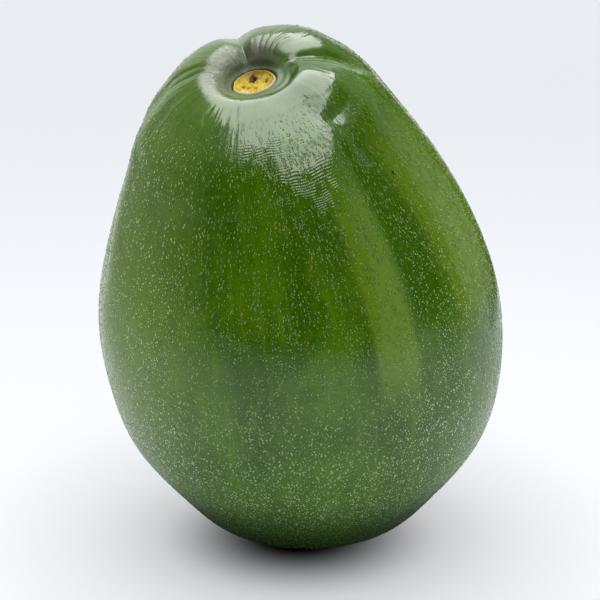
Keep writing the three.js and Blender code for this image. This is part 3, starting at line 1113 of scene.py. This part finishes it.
# %% [markdown]
# ### Dark and bright cards
#
# The clear, dark zone on the belly is a reflection of the unlit side of the room behind the camera,
# and the thin dark line inside the right edge is a reflection of a dark flag close behind the fruit. We
# build both from cards that the camera doesn't see. A bright card far behind gives both edges their
# pale rim. It and the flags are seen by reflections only and cast no shadow.

# %% Cards round the fruit
def card_finish(name, rgb, glow=0.0):
    made = bpy.data.materials.new(name)
    matt = {"Base Color": (*rgb, 1), "Roughness": 1.0, "Specular IOR Level": 0.1}
    surface(opened(made), {**matt, "Emission Color": (1, 1, 1, 1), "Emission Strength": glow})
    return made


unlit = card_finish("unlit_card", (0.004, 0.005, 0.004))
half_lit = card_finish("half_lit_card", (0.3, 0.31, 0.32))
glowing = card_finish("bright_card", (0.3, 0.3, 0.3), 0.85)
CARDS = {
    "dark_card_left": (unlit, [(-1.5, -1, 0), (0.05, -1, 0), (0.05, -1, 0.75), (-1.5, -1, 1.6)]),
    "dark_card_middle": (unlit, [(0.05, -1, 0), (0.95, -1, 0), (0.95, -1, 0.5), (0.05, -1, 0.5)]),
    "dark_card_right": (unlit, [(1, -0.2, 0), (1, 0.3, 0), (1, 0.3, 0.85), (1, -0.2, 0.85)]),
    "dark_flag": (unlit, [(.135, .17, 0), (.078, .198, 0), (.078, .198, .19), (.135, .17, .19)]),
    "grey_flag": (half_lit, [(.175, .12, 0), (.135, .17, 0), (.135, .17, .17), (.175, .12, .14)]),
    "bright_card_behind": (glowing, [(-1.3, 0.9, 0), (.35, 1.15, 0), (.35, 1.15, 1), (-1.3, 0.9, 1)]),
    "grey_card_left": (half_lit, [(-1.5, -1, 0), (-1.7, -0.1, 0), (-1.7, -0.1, 1.5), (-1.5, -1, 1.6)]),
}
for name, (finish, corners) in CARDS.items():
    card = flat_piece(name, corners)
    card.data.materials.append(finish)
    card.visible_camera = False
    card.visible_diffuse = card.visible_shadow = finish is not glowing and "flag" not in name
print("cards:", len(CARDS))

# %% [markdown]
# ### The light
#
# One very large soft box hangs over the fruit and draws the pale cap round the stem. A smaller one in
# front, a little to the right, draws the rippled patch below it. In a renderer we may split a lamp in
# two: one half only shines in the wax, the other only lights matt surfaces. That lets us set the
# brightness of the reflection and of the green skin one after the other. The front box has no matt half.

# %% Soft boxes and room light
def soft_box(name, place, aim, wide, deep, radiance, for_wax):
    """radiance: how bright its face looks, where the table looks about 0.9.
    for_wax: whether it is seen in glossy reflections only, or lights matt surfaces only."""
    lamp = bpy.data.lights.new(name, "AREA")
    lamp.shape = "RECTANGLE"
    lamp.size, lamp.size_y = wide, deep
    lamp.energy = radiance * math.pi * wide * deep
    thing = new_object(name, lamp)
    thing.visible_glossy, thing.visible_diffuse = for_wax, not for_wax
    thing.location = place
    thing.rotation_euler = (Vector(aim) - Vector(place)).to_track_quat("-Z", "Y").to_euler()
    print(name, "watts:", round(lamp.energy, 1))


soft_box("overhead_wax_light", (-0.03, 0.28, 1.1), (-0.03, 0.28, 0), 1.12, 1.6, 7.7, True)
soft_box("overhead_matt_light", (-0.03, 0.28, 1.1), (-0.03, 0.28, 0), 1.12, 1.6, 2.6, False)
soft_box("front_wax_light", (0.249, -0.723, 0.77), (0, 0, 0.09), 0.58, 0.64, 6.5, True)

room = bpy.data.worlds.new("white_room")
bpy.context.scene.world = room
walls = opened(room)
ray = node(walls, "ShaderNodeLightPath")
wall_colour = mix(ray["Is Glossy Ray"], (0.68, 0.7, 0.73), (0.39, 0.4, 0.41))
wall_colour = mix(ray["Is Camera Ray"], wall_colour, (0.84, 0.87, 0.9))
wall_light = node(walls, "ShaderNodeBackground", {}, {"Color": wall_colour, "Strength": 1.0})
node(walls, "ShaderNodeOutputWorld", {}, {"Surface": wall_light})

view = bpy.context.scene.view_settings
view.view_transform = "Standard"
view.look = "None"
view.exposure = 0
view.gamma = 1

# %% [markdown]
# ## Hand over to the frame
#
# Each piece rides with the CAD root body, and the CAD solids that the pieces replace are hidden.

# %% Ride and replace
for piece in (skin, *pores, stub):
    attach(piece, "root")
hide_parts("fruit")
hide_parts("stem_button")
